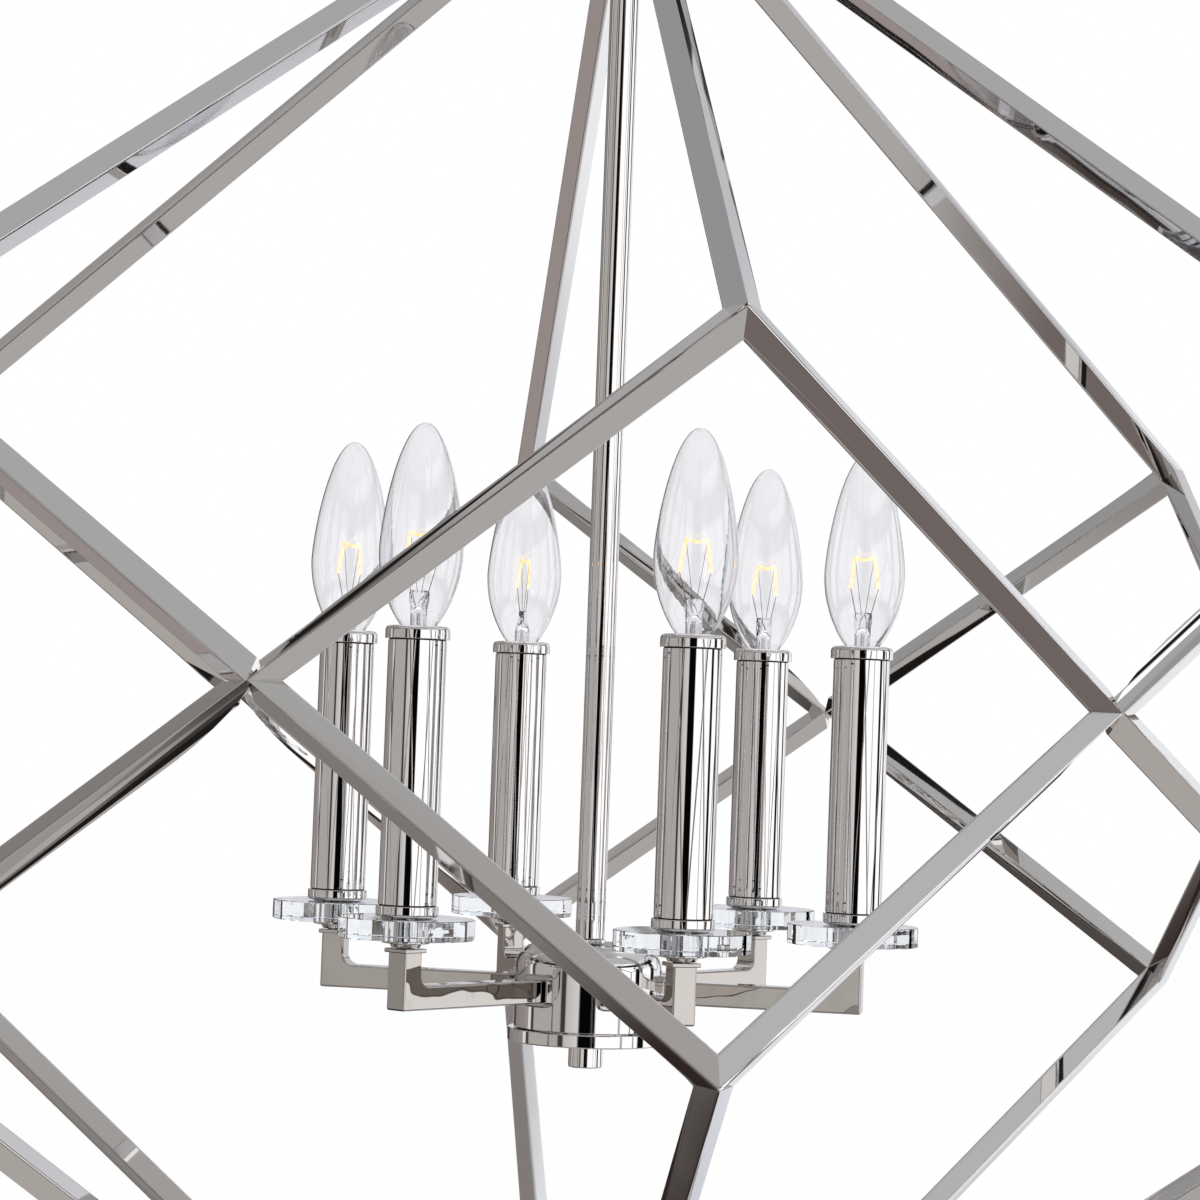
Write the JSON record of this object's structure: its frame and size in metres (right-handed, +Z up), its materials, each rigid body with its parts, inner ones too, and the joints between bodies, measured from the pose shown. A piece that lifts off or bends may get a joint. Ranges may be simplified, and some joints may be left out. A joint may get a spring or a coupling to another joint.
{
  "type": "pendant chandelier",
  "caption": "Pendant chandelier: a faceted geometric cage of square polished bars round a central rod, with candle lights on square elbow arms and crystal drip discs.",
  "frame": {"origin": "middle of the ceiling bar's top face, which lies against the ceiling", "axes": "+Z up along the rod, -Y towards the cage's front joint, +X to the right seen from the front"},
  "size_m": [0.6276, 0.7246, 0.9797],
  "materials": {
    "polished_nickel": "mirror-polished nickel plate",
    "zinc_plated_steel": "zinc plated",
    "crystal": "cut and polished clear crystal",
    "bulb_glass": "clear blown glass, filament lit",
    "socket_phenolic": "moulded phenolic"
  },
  "bodies": {
    "ceiling_mount": {"ceiling_bar": "zinc_plated_steel", "canopy_nipple": "zinc_plated_steel", "canopy": "polished_nickel", "canopy_ring": "polished_nickel"},
    "swivel": {"swivel_fork": "polished_nickel"},
    "pendant": {"swivel_tongue": "polished_nickel", "swivel_pin": "polished_nickel", "upper_stem": "polished_nickel", "stem_coupling": "polished_nickel", "cage_top_hub": "polished_nickel", "main_rod": "polished_nickel", "cage_rib_1": "polished_nickel", "cage_rib_2": "polished_nickel", "cage_rib_3": "polished_nickel", "cage_rib_4": "polished_nickel", "cage_rib_5": "polished_nickel", "cage_rib_6": "polished_nickel", "cage_bottom_hub": "polished_nickel", "rod_collar": "polished_nickel", "hub_body": "polished_nickel", "hub_nipple": "zinc_plated_steel", "hub_cover": "polished_nickel", "finial": "polished_nickel", "arm_1": "polished_nickel", "arm_2": "polished_nickel", "arm_3": "polished_nickel", "arm_4": "polished_nickel", "arm_5": "polished_nickel", "arm_6": "polished_nickel", "candle_cup_1": "polished_nickel", "candle_cup_2": "polished_nickel", "candle_cup_3": "polished_nickel", "candle_cup_4": "polished_nickel", "candle_cup_5": "polished_nickel", "candle_cup_6": "polished_nickel", "bobeche_1": "crystal", "bobeche_2": "crystal", "bobeche_3": "crystal", "bobeche_4": "crystal", "bobeche_5": "crystal", "bobeche_6": "crystal", "candle_sleeve_1": "polished_nickel", "candle_sleeve_2": "polished_nickel", "candle_sleeve_3": "polished_nickel", "candle_sleeve_4": "polished_nickel", "candle_sleeve_5": "polished_nickel", "candle_sleeve_6": "polished_nickel", "socket_1": "socket_phenolic", "socket_2": "socket_phenolic", "socket_3": "socket_phenolic", "socket_4": "socket_phenolic", "socket_5": "socket_phenolic", "socket_6": "socket_phenolic"},
    "bulb_1": {"bulb_1": "bulb_glass"},
    "bulb_2": {"bulb_2": "bulb_glass"},
    "bulb_3": {"bulb_3": "bulb_glass"},
    "bulb_4": {"bulb_4": "bulb_glass"},
    "bulb_5": {"bulb_5": "bulb_glass"},
    "bulb_6": {"bulb_6": "bulb_glass"}
  },
  "joints": [
    {"name": "swivel_turn", "type": "hinge", "parent": "ceiling_mount", "child": "swivel", "pos_m": [0, 0, -0.046], "axis": [0, 0, 1], "range_deg": [-170, 170]},
    {"name": "swivel_tilt", "type": "hinge", "parent": "swivel", "child": "pendant", "pos_m": [0, 0, -0.055], "axis": [1, 0, 0], "range_deg": [-40, 40]},
    {"name": "bulb_1_lift", "type": "slide", "parent": "pendant", "child": "bulb_1", "axis": [0, 0, 1], "range_m": [0, 0.026]},
    {"name": "bulb_2_lift", "type": "slide", "parent": "pendant", "child": "bulb_2", "axis": [0, 0, 1], "range_m": [0, 0.026]},
    {"name": "bulb_3_lift", "type": "slide", "parent": "pendant", "child": "bulb_3", "axis": [0, 0, 1], "range_m": [0, 0.026]},
    {"name": "bulb_4_lift", "type": "slide", "parent": "pendant", "child": "bulb_4", "axis": [0, 0, 1], "range_m": [0, 0.026]},
    {"name": "bulb_5_lift", "type": "slide", "parent": "pendant", "child": "bulb_5", "axis": [0, 0, 1], "range_m": [0, 0.026]},
    {"name": "bulb_6_lift", "type": "slide", "parent": "pendant", "child": "bulb_6", "axis": [0, 0, 1], "range_m": [0, 0.026]}
  ]
}
